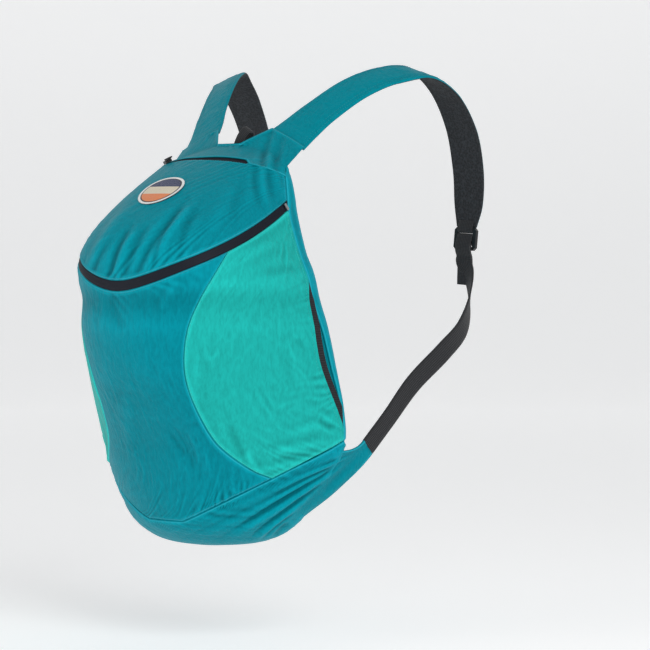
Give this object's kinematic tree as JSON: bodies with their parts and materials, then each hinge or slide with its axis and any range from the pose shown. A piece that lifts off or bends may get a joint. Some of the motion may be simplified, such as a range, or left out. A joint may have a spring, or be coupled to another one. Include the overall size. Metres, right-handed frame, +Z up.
{
  "type": "packable backpack",
  "caption": "Light nylon backpack in its worn form, with a curved front zip, side pockets, padded shoulder straps and lower webbing.",
  "frame": {"origin": "midway between the undersides of the two shoulder strap crests, where the pack rests on its wearer's shoulders", "axes": "+Z up, +X to the wearer's right, -Y the outer face of the bag, away from the wearer"},
  "size_m": [0.3394, 0.382, 0.4869],
  "materials": {
    "nylon_teal": "thin crinkled nylon with a soft sheen",
    "nylon_mint": "thin crinkled nylon with a soft sheen",
    "webbing_black": "matt woven webbing",
    "zip_navy": "coated zip tape",
    "plastic_black": "moulded, satin",
    "metal_grey": "satin",
    "patch_cloth": "woven and embroidered"
  },
  "bodies": {
    "root": {"front_panel": "nylon_teal", "top_panel": "nylon_teal", "back_panel": "nylon_teal", "bottom_panel": "nylon_teal", "yoke": "nylon_teal", "front_zip": "zip_navy", "top_zip": "zip_navy", "side_pocket_right": "nylon_mint", "side_gusset_right": "nylon_teal", "pocket_elastic_right": "webbing_black", "shoulder_strap_right": "nylon_teal", "strap_buckle_right": "plastic_black", "lower_webbing_right": "webbing_black", "side_pocket_left": "nylon_mint", "side_gusset_left": "nylon_teal", "pocket_elastic_left": "webbing_black", "shoulder_strap_left": "nylon_teal", "strap_buckle_left": "plastic_black", "lower_webbing_left": "webbing_black", "grab_loop": "webbing_black", "round_patch": "patch_cloth", "top_zip_slider": "plastic_black", "top_zip_pull": "webbing_black", "front_zip_slider": "plastic_black", "front_zip_pull": "webbing_black", "front_zip_stop": "metal_grey"}
  },
  "joints": []
}
